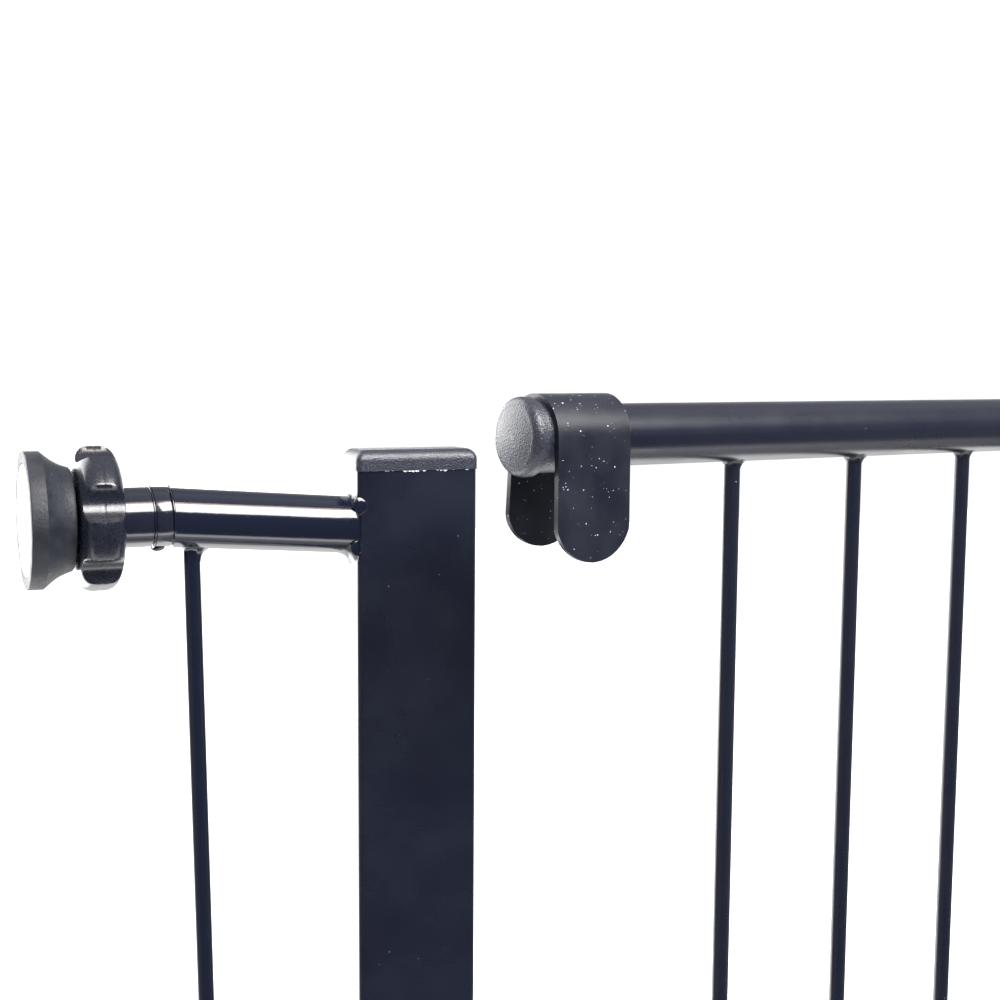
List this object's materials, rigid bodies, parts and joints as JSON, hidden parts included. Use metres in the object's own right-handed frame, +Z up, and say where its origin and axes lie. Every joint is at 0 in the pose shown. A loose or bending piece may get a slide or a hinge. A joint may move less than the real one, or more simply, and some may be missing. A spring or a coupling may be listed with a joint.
{
  "type": "pressure-mounted baby safety gate",
  "caption": "Pressure-mounted walk-through baby gate: barred door that lifts over the latch post and swings, held by screw-out wall pads.",
  "frame": {"origin": "centre of the gate's width on the underside of the sill rail, at the floor, midway through the posts", "axes": "+X along the gate to the hinge side, -Y to the front, +Z up"},
  "size_m": [0.7624, 0.1121, 0.757],
  "materials": {
    "frame_coat": "gloss powder coat",
    "door_coat": "satin powder coat",
    "saddle_coat": "satin powder coat on pressed sheet",
    "cap_plastic": "fine moulded grain",
    "bush_nylon": "gloss moulded",
    "ring_nylon": "semi-gloss moulded",
    "handwheel_plastic": "semi-gloss moulded",
    "pad_rubber": "matt moulded",
    "grip_disc": "matt pale grip face",
    "zinc_steel": "zinc-plated"
  },
  "bodies": {
    "frame": {"left_post": "frame_coat", "left_post_cap": "cap_plastic", "left_side_bar": "frame_coat", "lower_hinge_bracket": "frame_coat", "lower_left_collar_ring": "ring_nylon", "lower_left_end_bush": "bush_nylon", "lower_left_stub_tube": "frame_coat", "lower_right_collar_ring": "ring_nylon", "lower_right_end_bush": "bush_nylon", "lower_right_stub_tube": "frame_coat", "right_post": "frame_coat", "right_post_cap": "cap_plastic", "right_side_bar": "frame_coat", "sill_end_plugs": "cap_plastic", "sill_keeper": "frame_coat", "sill_rail": "frame_coat", "upper_hinge_bracket": "frame_coat", "upper_left_collar_ring": "ring_nylon", "upper_left_end_bush": "bush_nylon", "upper_left_stub_tube": "frame_coat", "upper_right_collar_ring": "ring_nylon", "upper_right_end_bush": "bush_nylon", "upper_right_stub_tube": "frame_coat"},
    "door_pivots": {"upper_hinge_bush": "bush_nylon", "lower_hinge_pin": "zinc_steel"},
    "door": {"bottom_rail_end_cap": "cap_plastic", "collar_set_screw": "zinc_steel", "door_bar_1": "door_coat", "door_bar_2": "door_coat", "door_bar_3": "door_coat", "door_bar_4": "door_coat", "door_bar_5": "door_coat", "door_bar_6": "door_coat", "door_bar_7": "door_coat", "door_bottom_rail": "door_coat", "door_hinge_stile": "door_coat", "door_top_rail": "door_coat", "latch_saddle": "saddle_coat", "lift_stop_collar": "door_coat", "lower_saddle": "saddle_coat", "stile_foot_bush": "bush_nylon", "stile_top_plug": "cap_plastic", "top_rail_end_cap": "cap_plastic"},
    "upper_left_wheel": {"upper_left_handwheel": "handwheel_plastic"},
    "upper_left_foot": {"upper_left_spindle": "zinc_steel", "upper_left_wall_pad": "pad_rubber", "upper_left_pad_disc": "grip_disc"},
    "upper_right_wheel": {"upper_right_handwheel": "handwheel_plastic"},
    "upper_right_foot": {"upper_right_spindle": "zinc_steel", "upper_right_wall_pad": "pad_rubber", "upper_right_pad_disc": "grip_disc"},
    "lower_left_wheel": {"lower_left_handwheel": "handwheel_plastic"},
    "lower_left_foot": {"lower_left_spindle": "zinc_steel", "lower_left_wall_pad": "pad_rubber", "lower_left_pad_disc": "grip_disc"},
    "lower_right_wheel": {"lower_right_handwheel": "handwheel_plastic"},
    "lower_right_foot": {"lower_right_spindle": "zinc_steel", "lower_right_wall_pad": "pad_rubber", "lower_right_pad_disc": "grip_disc"}
  },
  "joints": [
    {"name": "door_swing", "type": "hinge", "parent": "frame", "child": "door_pivots", "pos_m": [0.2123, 0, 0.05], "axis": [0, 0, 1], "range_deg": [-6.5, 80.4]},
    {"name": "door_lift", "type": "slide", "parent": "door_pivots", "child": "door", "axis": [0, 0, 1], "range_m": [0, 0.038]},
    {"name": "upper_left_wheel_turn", "type": "hinge", "parent": "frame", "child": "upper_left_wheel", "pos_m": [-0.35985, 0, 0.71495], "axis": [1, 0, 0], "range_deg": [0, 6000]},
    {"name": "upper_left_foot_slide", "type": "slide", "parent": "frame", "child": "upper_left_foot", "axis": [-1, 0, 0], "range_m": [0, 0.025]},
    {"name": "upper_right_wheel_turn", "type": "hinge", "parent": "frame", "child": "upper_right_wheel", "pos_m": [0.35985, 0, 0.71495], "axis": [-1, 0, 0], "range_deg": [0, 6000]},
    {"name": "upper_right_foot_slide", "type": "slide", "parent": "frame", "child": "upper_right_foot", "axis": [1, 0, 0], "range_m": [0, 0.025]},
    {"name": "lower_left_wheel_turn", "type": "hinge", "parent": "frame", "child": "lower_left_wheel", "pos_m": [-0.35985, 0, 0.06495], "axis": [1, 0, 0], "range_deg": [0, 6000]},
    {"name": "lower_left_foot_slide", "type": "slide", "parent": "frame", "child": "lower_left_foot", "axis": [-1, 0, 0], "range_m": [0, 0.025]},
    {"name": "lower_right_wheel_turn", "type": "hinge", "parent": "frame", "child": "lower_right_wheel", "pos_m": [0.35985, 0, 0.06495], "axis": [-1, 0, 0], "range_deg": [0, 6000]},
    {"name": "lower_right_foot_slide", "type": "slide", "parent": "frame", "child": "lower_right_foot", "axis": [1, 0, 0], "range_m": [0, 0.025]}
  ],
  "couplings": [
    {"joint": "upper_left_wheel_turn", "follows": "upper_left_foot_slide", "rad_per_m": 4188.8},
    {"joint": "upper_right_wheel_turn", "follows": "upper_right_foot_slide", "rad_per_m": 4188.8},
    {"joint": "lower_left_wheel_turn", "follows": "lower_left_foot_slide", "rad_per_m": 4188.8},
    {"joint": "lower_right_wheel_turn", "follows": "lower_right_foot_slide", "rad_per_m": 4188.8}
  ]
}
